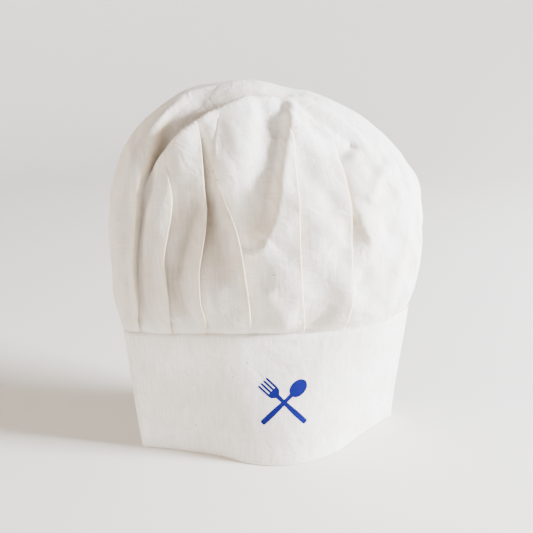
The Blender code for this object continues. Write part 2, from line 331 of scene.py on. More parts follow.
# Coarse threads with size dried between them.
buckram = trimming("buckram, sized cotton", "D3CBBB", "E4DDD0", 0.85, None, 16.67 * MM,
                   0.2 * MM, ridges=(1.4 * MM, "XZ", 0.8, 0.5))
# Fine threads and a soft gloss.
label_satin = trimming("satin label, woven polyester", "EDEDEA", "F8F8F6", 0.35,
                       {"Sheen Weight": 0.3, "Specular IOR Level": 0.6}, 16.67 * MM, 0.2 * MM,
                       ridges=(0.5 * MM, "XY", 0.8, 0.5), on_cloth=True)
# A milky plastic that lets a little light in.
hook_nylon = trimming("hook tape, moulded nylon", "D2CEC3", "E3E0D8", 0.45,
                      {"IOR": 1.53, "Subsurface Weight": 0.15, "Subsurface Scale": 0.5 * MM},
                      1.111 * MM, 0.05 * MM)
# A fuzz that glows at its edges.
loop_nylon = trimming("loop tape, brushed nylon", "CFCABF", "EEEBE5", 0.95,
                      {"Sheen Weight": 0.8, "Sheen Roughness": 0.5}, 0.7143 * MM, 0.4 * MM, 0.9)
# Slanting plies, a little darker than the cloth so that a seam reads.
thread_polyester = trimming("polyester thread, ecru", "CDC2AC", "E4DAC8", 0.5,
                            {"Sheen Weight": 0.4, "Sheen Roughness": 0.4}, 2 * MM, 0.08 * MM,
                            0.8, ridges=(0.3 * MM, "X", 0.0, 1.0), lean=0.6)
# Royal blue pigment, dull, with the cloth's warp showing through it.
ink = trimming("screen print ink", "00034C", "02086C", 0.7, {"Specular IOR Level": 0.15},
               0.7692 * MM, 0.05 * MM, ridges=(THREAD_PITCH, "X", 1.0, 1.0), on_cloth=True)
print("materials:", len(bpy.data.materials))

# %% [markdown]
# ## The band's strip
# Everything on the band is placed by a station along the strip, a depth inwards from its outer
# face, and a height. The outline is that of a hat stored flat: two folds at the sides, the front
# pushed out more at the bottom than at the seam. The lists are the same as the frame's. A curve
# object could carry the strip; one function of station, depth and height serves the cloth, the
# print, the tapes and the stitches alike.

# %% The band's strip
BAND_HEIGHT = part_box("band")[1][2]
BAND_CLOTH = 0.7 * MM
CHANNEL = 1.2 * MM
CORE = BAND_CLOTH + CHANNEL / 2
BAND_THICKNESS = 2 * BAND_CLOTH + CHANNEL
BOTTOM_OUTLINE = [
    (2, 55.5), (38, 50.5), (80, 28), (107, 11.5), (115.3, 5.8), (117.5, 0), (115, -5.5),
    (106, -10), (75, -29), (44, -49), (8, -57), (-25, -50), (-55, -30), (-90, -13),
    (-110, -5.2), (-116, -3.6), (-118, 0), (-116, 3.6), (-110, 6.5), (-82, 20), (-40, 40),
    (1.5, 50),
]
TOP_OUTLINE = [
    (2, 40.5), (40, 37.5), (84, 25), (114, 12), (123.5, 6.5), (126, 0), (124, -6.5),
    (115, -15.5), (86, -35), (52, -42), (12, -40), (-24, -34), (-60, -25.5), (-96, -17),
    (-118, -8.6), (-124.6, -5), (-126.5, -0.8), (-124.6, 3.2), (-118, 6.6), (-88, 16.5),
    (-44, 28), (1.5, 35),
]
LAST_STATION = len(TOP_OUTLINE) - 1


def unit(vectors):
    """The vectors with length 1."""
    return vectors / (np.linalg.norm(vectors, axis=-1, keepdims=True) + 1e-12)


def walk(line):
    """The distance walked along a line at each of its points."""
    return np.pad(np.cumsum(np.linalg.norm(np.diff(line, axis=0), axis=1)), (1, 0))


def outline_points(outline, stations):
    """Points on the smooth curve through an outline, in metres; whole stations are its points."""
    points = np.array(outline) * MM
    points = np.vstack([2 * points[0] - points[1], points, 2 * points[-1] - points[-2]])
    first = np.clip(stations.astype(int), 0, LAST_STATION - 1)
    t = (stations - first)[..., None]
    before, here, there, after = (points[first + i] for i in range(4))
    return (here * (2 * t ** 3 - 3 * t ** 2 + 1) + (there - before) / 2 * (t ** 3 - 2 * t ** 2 + t)
            + there * (3 * t ** 2 - 2 * t ** 3) + (after - here) / 2 * (t ** 3 - t ** 2))


def band_points(stations, depths, heights):
    """Points of the strip, one for each station, depth and height."""
    stations, depths, heights = np.broadcast_arrays(stations, depths, heights)
    step = 0.02
    places = []
    for shifted in (stations, np.clip(stations + step, 0, LAST_STATION),
                    np.clip(stations - step, 0, LAST_STATION)):
        low, high = (outline_points(o, shifted) for o in (BOTTOM_OUTLINE, TOP_OUTLINE))
        places.append(low + (high - low) * (heights / BAND_HEIGHT)[..., None])
    along = unit(places[1] - places[2])
    outward = np.stack([-along[..., 1], along[..., 0]], axis=-1)
    return np.concatenate([places[0] - outward * depths[..., None], heights[..., None]], axis=-1)


fine = np.linspace(0, LAST_STATION, 4000)
seam_lengths = walk(band_points(fine, 0, BAND_HEIGHT))
strip_length = seam_lengths[-1]


def station_at(distance):
    """The station this far along the strip's top edge, from its right end."""
    return np.interp(distance, seam_lengths, fine)


print("band strip, mm:", round(strip_length / MM), "long,", round(BAND_HEIGHT / MM), "high")

# %% [markdown]
# ## Sheets of cloth
# A sheet starts as a bmesh grid whose corners are put in place by a function, keeps a UV map in
# metres measured along its own threads, and gets its thickness from Solidify. A cloth simulation
# would fold by itself, but hardly into the pleats and creases that this hat has.

# %% Sheets of cloth
def sheet_object(name, places, wall, material, cloth_uv=None, painted_fold_light=None, left_out=None,
                 shade=None):
    """A cloth sheet from an array of places, rows by columns, thickened half to each side."""
    rows, columns = places.shape[:2]
    sheet = bmesh.new()
    bmesh.ops.create_grid(sheet, x_segments=columns - 1, y_segments=rows - 1, size=0.5)
    sheet.verts.ensure_lookup_table()
    uv = sheet.loops.layers.uv.new("cloth")
    # Layers of warm light painted along folds and of painted shade, which the calico reads.
    painted_light_layers = {name: sheet.verts.layers.float.new(name) for name in ("painted_fold_light", "shade")}
    where = {}
    for vert in sheet.verts:
        where[vert] = (round((vert.co.y + 0.5) * (rows - 1)),
                       round((vert.co.x + 0.5) * (columns - 1)))
    if cloth_uv is None:
        along = np.linalg.norm(np.diff(places, axis=1), axis=2).mean(axis=0)
        up = np.linalg.norm(np.diff(places, axis=0), axis=2).mean(axis=1)
        cloth_uv = np.stack(np.broadcast_arrays(
            np.concatenate([[0], np.cumsum(along)])[None, :],
            np.concatenate([[0], np.cumsum(up)])[:, None]), axis=2)
    for face in sheet.faces:
        for loop in face.loops:
            loop[uv].uv = cloth_uv[where[loop.vert]]
    for vert, spot in where.items():
        vert.co = places[spot]
        for layer, values in (("painted_fold_light", painted_fold_light), ("shade", shade)):
            if values is not None:
                vert[painted_light_layers[layer]] = values[spot]
    if left_out:
        gone = [face for face in sheet.faces
                if left_out(where[face.verts[0]], where[face.verts[2]])]
        bmesh.ops.delete(sheet, geom=gone, context="FACES")
        bmesh.ops.remove_doubles(sheet, verts=sheet.verts, dist=0.001 * MM)
    piece = mesh_object(name, sheet, material)
    thickness = piece.modifiers.new("thickness", "SOLIDIFY")
    thickness.thickness = wall
    thickness.offset = 0
    return piece

# %% [markdown]
# ## The crown's puffed shape
# Under its pleats the crown is a dome on a narrow, lens-shaped seam. It swells out just above the
# band, is widest at a bit over half the hat's height, and has slumped to one side at the peak. An
# angle counts clockwise from the middle of the back, and a row is a height. The shape could be
# sculpted; as a formula it keeps each height and width as a named value.

# %% The crown's puffed shape
def ease(x):
    """0 to 1 with a soft start and a soft end."""
    x = np.clip(x, 0, 1)
    return x * x * (3 - 2 * x)


BELLY_HEIGHT = 175 * MM
BELLY_HALF_WIDTH = 130.5 * MM
BELLY_HALF_DEPTH = 60 * MM
PEAK = np.array([-22, 6]) * MM
DOME_POWER = 2.4
FLARE_POWER = 3.4
SEAM_STAND = 2.0 * MM            # the cloth stands up a little before it swells out
CROWN_CLOTH = 0.6 * MM
FRONT = math.pi

seam_core = band_points(fine, CORE, BAND_HEIGHT)[:, :2]
seam_half = np.array([126, 40.5]) * MM
seam_angles = np.unwrap(np.arctan2(seam_core[:, 0] / seam_half[0], seam_core[:, 1] / seam_half[1]))


def crown_guide(angles, heights):
    """Points of the crown before it is pleated."""
    seam = np.stack([np.interp(angles, seam_angles, seam_core[:, i]) for i in (0, 1)], axis=-1)
    belly = np.stack([BELLY_HALF_WIDTH * np.sin(angles), BELLY_HALF_DEPTH * np.cos(angles)],
                     axis=-1)
    flare_start = BAND_HEIGHT + SEAM_STAND
    swell = np.clip((heights - flare_start) / (BELLY_HEIGHT - flare_start), 0, 1)
    swell = (1 - (1 - swell) ** FLARE_POWER)[..., None]
    rise = np.clip((heights - BELLY_HEIGHT) / (hat_height - BELLY_HEIGHT), 0, 1)[..., None]
    dome = np.sqrt(1 - rise ** DOME_POWER)
    spot = (seam * (1 - swell) + belly * swell) * dome + PEAK * rise ** 2
    return np.concatenate([spot, heights[..., None]], axis=-1)


def crown_frame(angles, heights):
    """Points of the guide with the outward and the clockwise directions there."""
    turn, lift = 0.004, 0.4 * MM
    top = hat_height - lift
    spot = crown_guide(angles, heights)
    clockwise = unit(crown_guide(angles + turn, heights) - crown_guide(angles - turn, heights))
    level = np.clip(heights, BAND_HEIGHT + lift, top)
    upward = unit(crown_guide(angles, level + lift) - crown_guide(angles, level - lift))
    return spot, unit(np.cross(upward, clockwise)), clockwise


def front_angle(across, height):
    """The angle on the crown's front where it is this far across, at a height."""
    angles = np.linspace(0.5 * FRONT, 1.5 * FRONT, 800)
    places = crown_guide(angles, np.full(800, height))[:, 0]
    return np.interp(-across, -places, angles)


# Row heights: close together over the flare, then evenly along the dome's curve.
profile = np.concatenate([np.linspace(BAND_HEIGHT, BELLY_HEIGHT, 400),
                          BELLY_HEIGHT + (hat_height - BELLY_HEIGHT)
                          * np.sin(np.linspace(0, math.pi / 2, 800))[1:]])
curve = crown_guide(np.full(profile.shape, FRONT + 0.6), profile)
walked = walk(curve)
ROW_SPACING = 2.1 * MM
row_count = round(walked[-1] / ROW_SPACING)
crown_rows = np.interp(np.linspace(0, walked[-1], row_count), walked, profile)
TONGUE_ROWS = BAND_HEIGHT - np.array([5.0, 2.5]) * MM      # caught between the band's plies
crown_rows = np.concatenate([TONGUE_ROWS, crown_rows])
print("crown rows:", row_count, "over", round(walked[-1] / MM), "mm of cloth")

# %% [markdown]
# ## Knife pleats
# The disc is gathered into the band by knife pleats, all laid the same way. Each is a Z in the
# cloth: the upper layer ends in a fold, runs back underneath it, and comes out again as the next
# stretch. Pressed flat at the seam, a pleat opens further up and dies out in the puff. So a pleat is
# a line up the crown, how far the cloth runs back under it, how deep the valley beside it is, how
# wide that valley is, and the height where it is gone. The front pleats are placed one by one; the
# back ones share one run of sizes.

# %% Where the pleats run
# Height, distance across, run back, depth, valley width, lift and flank width, all in mm.
FRONT_PLEATS = [
    [(115, 52, 12, 3.0, 8, 1.5, 10), (150, 51, 6, 3.0, 12, 1.5, 14), (182, 50, 4, 3.5, 13, 1.5, 14),
     (205, 50, 4, 2.5, 7, 2.0, 14), (218, 48, 5, 8.0, 4, 2.5, 12), (245, 44, 5, 9.0, 4, 2.5, 12),
     (258, 41, 3, 5.0, 6, 1.5, 12), (267, 40, 0, 0.0, 8, 0.0, 12)],
    [(115, 18, 12, 3.5, 10, 1.5, 12), (152, 10, 6, 4.0, 16, 2.0, 14), (192, 7, 4, 4.5, 18, 2.2, 14),
     (219, 6, 3, 4.0, 18, 2.2, 14), (255, 5, 2, 2.0, 18, 1.2, 14), (273, 6, 0, 0.0, 18, 0.0, 14)],
    [(115, -27, 12, 4.0, 9, 2.0, 12), (135, -29, 8, 5.0, 11, 3.0, 16), (159, -32, 6, 6.0, 13, 5.5, 18),
     (182, -35, 6, 7.0, 13, 7.5, 17), (198, -37, 5, 7.5, 13, 9.0, 16), (213, -40, 5, 8.0, 14, 9.5, 15),
     (224, -44, 4, 8.0, 14, 8.5, 13), (235, -48, 3, 6.0, 14, 5.5, 11), (245, -52, 1, 2.5, 14, 2.0, 10),
     (254, -54, 0, 0.0, 14, 0.0, 12)],
    [(115, -61, 12, 4.0, 9, 2.0, 10), (142, -63, 8, 5.0, 10, 3.0, 12), (156, -67, 6, 6.0, 10, 3.5, 14),
     (182, -67, 6, 8.5, 9, 5.0, 13), (198, -64, 6, 10.0, 8, 6.0, 12), (208, -62, 6, 11.5, 7, 6.0, 12),
     (226, -60, 6, 12.0, 6, 4.0, 12), (237, -61, 6, 12.0, 6, 3.5, 12), (252, -61, 6, 12.0, 6, 3.0, 12),
     (264, -61, 5, 10.0, 6, 2.5, 12), (276, -61, 3, 6.0, 7, 1.5, 12), (288, -63, 0, 0.0, 8, 0.0, 12)],
    [(115, -88, 12, 4.0, 9, 2.0, 10), (150, -90, 6, 5.5, 12, 3.0, 12), (185, -92, 5, 6.5, 13, 4.0, 12),
     (206, -88, 5, 5.5, 13, 3.2, 12), (226, -84, 4, 4.5, 12, 2.2, 12), (236, -83, 3, 3.0, 12, 1.5, 12),
     (247, -85, 2, 2.0, 12, 0.8, 12), (258, -86, 0, 0.0, 12, 0.0, 12),
     (275, -82, 0, 0.0, 12, 0.0, 12), (288, -78, 0, 0.0, 12, 0.0, 12)],
    [(115, -113, 8, 3.5, 8, 1.5, 8), (160, -113, 6, 5.5, 10, 2.5, 8), (192, -113, 5, 6.5, 10, 3.0, 8),
     (212, -111, 5, 8.0, 10, 3.0, 8), (231, -108, 5, 9.0, 10, 3.0, 10), (251, -102, 5, 8.0, 9, 3.5, 12),
     (266, -96, 4, 6.0, 9, 3.5, 14), (280, -89, 3, 4.0, 9, 3.0, 14), (291, -80, 2, 2.0, 9, 2.0, 14),
     (302, -64, 0, 0.0, 9, 0.0, 14)],
]
BACK_PLEATS = [24, 43, 60, 300, 318, 338]                       # degrees
BACK_PLEAT = [(115, 10, 3.5, 9, 1.8, 10), (160, 6, 5.0, 14, 2.5, 12), (215, 4, 4.5, 15, 2.2, 12),
              (262, 0, 0.0, 15, 0.0, 12)]
PRESSED_DEPTH = 1.3 * MM
rows_up = crown_rows - BAND_HEIGHT
press = ease((rows_up + 1.5 * MM) / (4 * MM))          # flat between the band's plies
opening = ease(rows_up / (16 * MM))


def soften(values, reach=4):
    """A column of values averaged with its neighbours, so that a line bends and has no corners."""
    kernel = np.hanning(2 * reach + 1)
    return np.convolve(np.pad(values, reach, mode="edge"), kernel / kernel.sum(), mode="valid")


def front_pleat(points):
    """A front pleat's angle at every row, then its other sizes at every row."""
    points = np.array(points) * MM
    across = soften(np.interp(crown_rows, points[:, 0], points[:, 1]))
    level = np.clip(crown_rows, BAND_HEIGHT, points[-1, 0])
    held = np.minimum(level, level[level < points[-1, 0]].max())
    line = np.array([front_angle(x, h) for x, h in zip(across, held)])
    line[crown_rows > points[-1, 0]] = line[crown_rows <= points[-1, 0]][-1]
    return [soften(line, 3)] + [soften(np.interp(crown_rows, points[:, 0], column))
                                for column in points[:, 2:].T]


def back_pleat(degrees):
    """A back pleat's angle, then its other sizes, at every row."""
    points = np.array(BACK_PLEAT) * MM
    wander = 0.05 * opening * np.sin(crown_rows / MM / 25 + degrees)
    return [math.radians(degrees) + wander] + [soften(np.interp(crown_rows, points[:, 0], column))
                                               for column in points[:, 1:].T]


pleats = [front_pleat(points) for points in FRONT_PLEATS] + [back_pleat(d) for d in BACK_PLEATS]
pleats.sort(key=lambda pleat: pleat[0][0])
print("pleats:", len(pleats), "at the seam, degrees:",
      [round(math.degrees(p[0][0])) for p in pleats])

# %% [markdown]
# ## The crown's columns
# The cloth's columns run up along the pleats, so every fold and every valley has an edge of its own.
# Each pleat gives its stretch of cloth a lift at the fold and a sag into the next valley, and says
# how much warm light and how much shade are painted on the cloth there.

# %% Lay out the crown's columns
FRONT_COLUMNS = 1.9 * MM
BACK_COLUMNS = 3.3 * MM
SLIT_RIGHT = 7 * MM
SLIT_LEFT = 4 * MM
SLIT_TOP = 168 * MM
slit_angles = [np.interp(station_at(distance), fine, seam_angles)
               for distance in (SLIT_RIGHT, strip_length - SLIT_LEFT)]
FOLD_ROUND = np.array([0.0, 0.5, 1.4]) * MM      # extra columns that round a fold's edge
VALLEY_COLUMNS = np.array([1.0, 3.0]) * MM       # and that keep the valley under it narrow
NEIGHBOUR_GAP = 4 * MM                           # no pleat ever crosses its neighbour
STRETCH_BULGE = 0.8 * MM                         # between two pleats the cloth is never quite flat
# Painted warm light fades from a fold's edge; painted shade from a valley's foot and about the middle
# of a high fold's flank.
FOLD_LIGHT_REACH = 2.2 * MM                           # from a fold's edge
SHADE_REACH = 1.6 * MM                           # from a valley's foot
FLANK_SHADE = (13 * MM, 10 * MM)                 # from the fold to its middle, and its half width
girth_radius = 0.5 * (BELLY_HALF_WIDTH + BELLY_HALF_DEPTH)
settled = ease((hat_height - crown_rows) / (35 * MM))       # everything calms towards the peak

slit_middle = (slit_angles[0] + slit_angles[1] - 2 * math.pi * (slit_angles[1] > math.pi)) / 2
slit_open = np.interp(crown_rows, [BAND_HEIGHT, SLIT_TOP, SLIT_TOP + 40 * MM], [1.0, 0.15, 1.0])
slit_lines = [slit_middle + turn + (angle - slit_middle - turn) * slit_open
              for angle, turn in zip(slit_angles, (0, 2 * math.pi))]
print("slit edges, degrees:", [round(math.degrees(a), 1) for a in slit_angles])
lines = [slit_lines[0]] + [pleat[0] for pleat in pleats] + [slit_lines[1]]
for i in range(1, len(lines)):
    lines[i] = np.maximum(lines[i], lines[i - 1] + NEIGHBOUR_GAP / girth_radius)
no_pleat = [None, *np.zeros((2, len(crown_rows))), np.full(crown_rows.shape, 8 * MM),
            np.zeros(crown_rows.shape), np.full(crown_rows.shape, 8 * MM)]
walls = [no_pleat] + pleats + [no_pleat]
angle_columns, back_columns, out_columns, fold_light_columns, shade_columns = [], [], [], [], []
for i in range(len(lines) - 1):
    start, end = lines[i], lines[i + 1]
    _, _, _, _, lift, flank = walls[i]
    _, run, depth, valley, _, _ = walls[i + 1]
    deep = PRESSED_DEPTH * (depth > 0) + (depth - PRESSED_DEPTH * (depth > 0)) * opening
    width = (end - start).mean() * girth_radius
    faces_front = 0.53 * FRONT < 0.5 * (start + end).mean() < 1.5 * FRONT
    count = max(4, round(width / (FRONT_COLUMNS if faces_front else BACK_COLUMNS)))
    steps = np.linspace(0, 1, count + 1)
    steps = np.unique(np.concatenate([steps, 1 - VALLEY_COLUMNS / width]))
    if i:
        steps = np.unique(np.concatenate([FOLD_ROUND / width, steps[steps > 1.6 * MM / width]]))
    for q in steps:
        from_fold = q * (end - start) * girth_radius
        to_fold = (1 - q) * (end - start) * girth_radius
        sag = press * deep * np.exp(-(to_fold / valley) ** 1.3)
        rise = press * (lift * (0.3 + 0.7 * opening) * np.exp(-from_fold / flank)
                        + STRETCH_BULGE * np.sin(math.pi * q))
        angle_columns.append(start + q * (end - start))
        back_columns.append(run * (1 - 0.5 * opening) * q ** 6)
        out_columns.append(settled * (rise - sag))
        # Painted warm light on the fold's edge; painted shade at the valley's foot and on a high fold's
        # flank.
        fold_light_columns.append((i > 0) * np.exp(-from_fold / FOLD_LIGHT_REACH) * np.clip(lift / MM, 0, 1))
        flank_middle = np.exp(-((from_fold - FLANK_SHADE[0]) / FLANK_SHADE[1]) ** 2)
        painted_shade_at_foot = 0.75 * np.exp(-(to_fold / SHADE_REACH) ** 2) * np.clip(depth / (6 * MM), 0, 1)
        shade_columns.append(opening * np.maximum(
            painted_shade_at_foot, flank_middle * np.clip(lift / (6.5 * MM), 0, 1)))
angles, back_run, out, painted_fold_light, flank_shade = (
    np.array(c).T for c in (angle_columns, back_columns, out_columns, fold_light_columns, shade_columns))
heights = np.repeat(crown_rows[:, None], angles.shape[1], axis=1)
print("crown grid:", angles.shape, "rows by columns")

# %% [markdown]
# ## Creases, dents and puffs
# Soft cotton that has been stuffed, folded and handled also has creases that no pattern asks for.
# The big one here is a dent across the top: the front of the crown ends in an edge, and a second
# lobe rises behind it. A crease is a line on the front with a high side, on its left as
# it is travelled, and a low side; a groove is low on both sides; a puff is a soft bump. They could
# be sculpted, but as lines each can be moved and weighed against the others.

# %% Shape the creases
CREASE_REACH = 55 * MM                 # keeps a line on the front from marking the back


def front_line(points):
    """A line on the crown's front through (across, height) in mm, with its directions."""
    spots = np.array([crown_guide(np.array(front_angle(x * MM, h * MM)), np.array(h * MM))
                      for x, h in points])
    lengths = walk(spots)
    even = np.arange(0, lengths[-1], 1.5 * MM)
    line = np.stack([np.interp(even, lengths, spots[:, i]) for i in range(3)], axis=1)
    kernel = np.hanning(11)
    padded = np.pad(line, ((5, 5), (0, 0)), mode="edge")
    line = np.stack([np.convolve(padded[:, i], kernel / kernel.sum(), mode="valid")
                     for i in range(3)], axis=1)
    return line, unit(np.gradient(line, axis=0))


def beside(spots, outward, points):
    """How far each spot is to a line's left, how much the line counts there, and how far on."""
    line, travel = front_line(points)
    flat = spots.reshape(-1, 3)
    nearest = np.concatenate([np.argmin(((part[:, None, :] - line[None]) ** 2).sum(axis=2), axis=1)
                              for part in np.array_split(flat, max(1, len(flat) // 2000))])
    away = flat - line[nearest]
    left = np.cross(outward.reshape(-1, 3), travel[nearest])
    side = (away * left).sum(axis=1)
    past = np.abs((away * travel[nearest]).sum(axis=1))
    near = np.exp(-(np.linalg.norm(away, axis=1) / CREASE_REACH) ** 4)
    along = nearest / (len(line) - 1)
    fade_in, fade_out = (ease(v / 0.16 + 0.02) for v in (along, 1 - along))
    counts = near * np.exp(-(past / (4 * MM)) ** 2) * fade_in * fade_out
    return (side.reshape(spots.shape[:2]), counts.reshape(spots.shape[:2]),
            along.reshape(spots.shape[:2]))


def crease(spots, outward, points, high, low, high_width, low_width, ramp):
    """Height added by a crease, and how sharply folded the cloth is there."""
    side, counts, along = beside(spots, outward, points)
    side = side / MM
    high, low = (np.interp(along, np.linspace(0, 1, np.size(side_heights)), side_heights)
                 for side_heights in (high, low))
    upper = high * np.exp(-np.maximum(side, 0) / high_width)
    lower = -low * np.exp(-(np.maximum(-side - ramp, 0) / low_width) ** 1.4)
    mix = 0.35 * ease(-side / ramp) + 0.65 * np.clip(-side / ramp, 0, 1)
    return counts * (upper * (1 - mix) + lower * mix) * MM, counts * np.exp(-(side / 2.0) ** 2)


def groove(spots, outward, points, depth, width):
    """Height added by a groove, or by a ridge where the depth is negative."""
    side, counts, _ = beside(spots, outward, points)
    return -depth * MM * counts * np.exp(-(side / (width * MM)) ** 2)


def puff(spots, x, y, z, height, radius):
    """Height added by a soft bump about a point in mm."""
    away = np.linalg.norm(spots - np.array([x, y, z]) * MM, axis=-1) / (radius * MM)
    return height * MM * np.exp(-away ** 2)


TOP_EDGE = [(30, 296), (20, 299), (-2, 301), (-25, 301), (-41, 296), (-57, 289), (-72, 279),
            (-82, 270), (-90, 262), (-99, 251), (-105, 238)]
CENTRE_FOLD = [(12, 303), (5, 285), (0, 269), (-6, 246), (-11, 222), (-16, 208), (-27, 193)]
BOWL_HOOK = [(-17, 204), (-25, 194), (-35, 190)]
LEFT_LOBE = [(40, 268), (45.5, 249), (49, 235), (53, 217), (59, 203), (69, 187)]

# Line, high side and low side along it, how far each reaches, ramp between them, and painted warm
# light.
CREASES = [(TOP_EDGE, [1, 1, 2, 3, 3, 3], [4, 8, 17, 19, 11, 8], 14, 23, 5, 0.4),
           (CENTRE_FOLD, [2.5, 3, 4.5, 4], [3.5, 4.2, 6, 3], 18, 14, 7, 0.6),
           (BOWL_HOOK, [2.0], [3.5], 8, 8, 1.6, 0),
           (LEFT_LOBE, [1, 2, 3, 2], [2.5, 3, 2.2, 1.2], 15, 1.2, 1.0, 0.8)]

spots, outward, clockwise = crown_frame(angles, heights)
# The top edge ends at the last pleat of the front, sharply below and softly near the peak.
last_front_pleat = pleats[len(BACK_PLEATS) // 2 + len(FRONT_PLEATS) - 1][0]
blur = (5 + 40 * ease((crown_rows / MM - 285) / 15))[:, None] * MM
before_last = ease((last_front_pleat[:, None] - angles) * girth_radius / blur + 0.5)
for line, high, low, high_width, low_width, ramp, fold_light in CREASES:
    added, sharp = crease(spots, outward, line, high, low, high_width, low_width, ramp)
    out = out + added * (before_last if line is TOP_EDGE else 1)
    # Warm light painted along the crease's fold.
    painted_fold_light = np.maximum(painted_fold_light, fold_light * sharp)
for points, depth, width in [
        ([(-64, 240), (-70, 222), (-75, 208), (-81, 196), (-84, 182), (-83, 168)], 5.0, 4.5),
        ([(-29, 190), (-22, 177), (-17, 158)], 2.4, 4.5),
        ([(40, 256), (48, 261), (58, 268)], 3.2, 3.5),
        ([(62, 222), (72, 240), (84, 247), (94, 240)], -3.0, 5),
        ([(22, 119), (30, 131), (38, 146)], 1.8, 5),
        ([(-22, 119), (-17, 130), (-15, 144)], 1.6, 5),
        ([(-112, 272), (-106, 250), (-108, 228)], -2.2, 4),
        ([(57, 150), (63, 162), (66, 175)], 1.8, 5)]:
    out = out + groove(spots, outward, points, depth, width)
for swelling in [(95, -20, 225, 4, 32), (78, -40, 252, 2.5, 12), (-45, -50, 225, -4, 20),
                 (-10, 40, 300, 5, 32), (-48, 22, 292, 5, 24), (-24, 14, 308, 5, 26),
                 (118, 0, 140, -4, 16), (30, -60, 225, 2, 24)]:
    out = out + puff(spots, *swelling)

print("creases:", len(CREASES), "and the crown stands out at most, mm:", round(out.max() / MM))

# %% [markdown]
# ## Wrinkles and the peak
# Between the creases the cotton is finely crumpled. A Displace modifier with a noise would do; a
# sum of slanted waves lets the wrinkles run longer upwards than across. At the peak all columns
# meet in one point.

# %% Wrinkle the crown and close its peak
# Random, but the same seed gives the same hat.
WRINKLES = 26
WRINKLE_LENGTHS = (14, 48)                       # mm
WRINKLE_HEIGHT = 0.017                           # share of its length
random = np.random.default_rng(7)
alive = ease(rows_up / (20 * MM))[:, None] * ease((hat_height - heights) / (30 * MM))
arc = angles * girth_radius
for _ in range(WRINKLES):
    wave = random.uniform(*WRINKLE_LENGTHS) * MM
    lean = random.normal(0, 0.35)
    phase = random.uniform(0, 2 * math.pi)
    size = WRINKLE_HEIGHT * wave * random.uniform(0.4, 1)
    out = out + alive * size * np.sin(2 * math.pi * (arc * math.cos(lean) / wave
                                                    + heights * math.sin(lean) / wave) + phase) \
        * np.sin(2 * math.pi * heights / (wave * 3.1) + 2 * phase)

# At the very top all columns meet, so they agree on one height and all point straight up.
out[-1] = out[-2].mean()
peak = ease((crown_rows - hat_height) / (9 * MM) + 1)[:, None]
out = out * (1 - peak) + out.mean(axis=1, keepdims=True) * peak
outward = outward * (1 - peak[..., None]) + np.array([0, 0, 1]) * peak[..., None]
places = spots + outward * out[..., None] + clockwise * back_run[..., None]
print("the peak is at, mm:", np.round(places[-1, 0] / MM))

# %% [markdown]
# ## The crown's cloth
# The grid is closed round the back, except along the slit. Two layers on its corners tell the
# calico where warm light is painted along the folds and where shade is painted deep in them, which
# bump alone would not show. Its threads are measured round and up the cloth, so that the weave is
# even from the band to the shoulder.

# %% Make the crown's cloth
slit_row = np.searchsorted(crown_rows, SLIT_TOP)
column_count = places.shape[1]


def wrap(values):
    """Columns with the first one repeated at the end, which closes the sheet."""
    return np.concatenate([values, values[:, :1]], axis=1)


def in_slit(low_corner, high_corner):
    """Whether a face bridges the slit at the back."""
    return max(low_corner[1], high_corner[1]) == column_count and \
        min(low_corner[0], high_corner[0]) < slit_row


# Painted shade: greyer where the cloth lies deep, on high folds' flanks and at valleys' feet, and in a
# patch behind the top edge.
painted_shade_deep = 0.6 * (1 - np.exp(-np.maximum(-out, 0) / (8 * MM))) * opening[:, None]
painted_shade_behind_edge = puff(spots, -46, -2, 300, 0.5, 20) / MM
shade = 1 - (1 - painted_shade_deep) * (1 - flank_shade) * (1 - painted_shade_behind_edge)
# The warp threads run straight up, and draw together only near the peak.
dome_girth = np.sqrt(1 - (np.clip(crown_rows - BELLY_HEIGHT, 0, None)
                          / (hat_height - BELLY_HEIGHT + 0.01 * MM)) ** DOME_POWER)
DRAWN_FROM, DRAWN_TO = 0.87, 0.35          # shares of the full girth
draw_in = np.clip(dome_girth / DRAWN_FROM, DRAWN_TO, 1)[:, None]
steps_up = np.linalg.norm(np.diff(places, axis=0), axis=2).mean(axis=1)
climb = np.pad(np.cumsum(steps_up), (1, 0))[:, None]
turned = np.concatenate([angles, angles[:, :1] + 2 * math.pi], axis=1) - FRONT
threads = np.stack(np.broadcast_arrays(turned * girth_radius * draw_in, climb), axis=2)
crown = sheet_object("crown_cloth", wrap(places), CROWN_CLOTH, crown_calico,
                     cloth_uv=threads, painted_fold_light=wrap(painted_fold_light), left_out=in_slit,
                     shade=wrap(shade))
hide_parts("crown")
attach(crown, "hat")
print("crown cloth faces:", len(crown.data.polygons))

# %% [markdown]
# ## The band's cloth
# The strip is folded lengthwise at the bottom: outer ply, fold, inner ply. Where its stiffener has
# gone limp the front has soft waves, and what is sewn or printed on the band follows them. A
# solidified ring would do for a plain band, but it has no fold at its bottom edge.

# %% Fold the band's cloth
def folded_section(depth, low, high, rows):
    """Depths and heights down the outer ply, round the bend at its bottom, and up the inner ply."""
    outer = depth + BAND_CLOTH / 2
    inner = depth + BAND_THICKNESS - BAND_CLOTH / 2
    radius = (inner - outer) / 2
    centre = low + BAND_CLOTH / 2 + radius
    straight = np.linspace(high, centre, rows)
    turn = np.linspace(0, math.pi, 9)[1:-1]
    depths = np.concatenate([np.full(rows, outer), (outer + inner) / 2 - radius * np.cos(turn),
                             np.full(rows, inner)])
    levels = np.concatenate([straight, centre - radius * np.sin(turn), straight[::-1]])
    return depths, levels


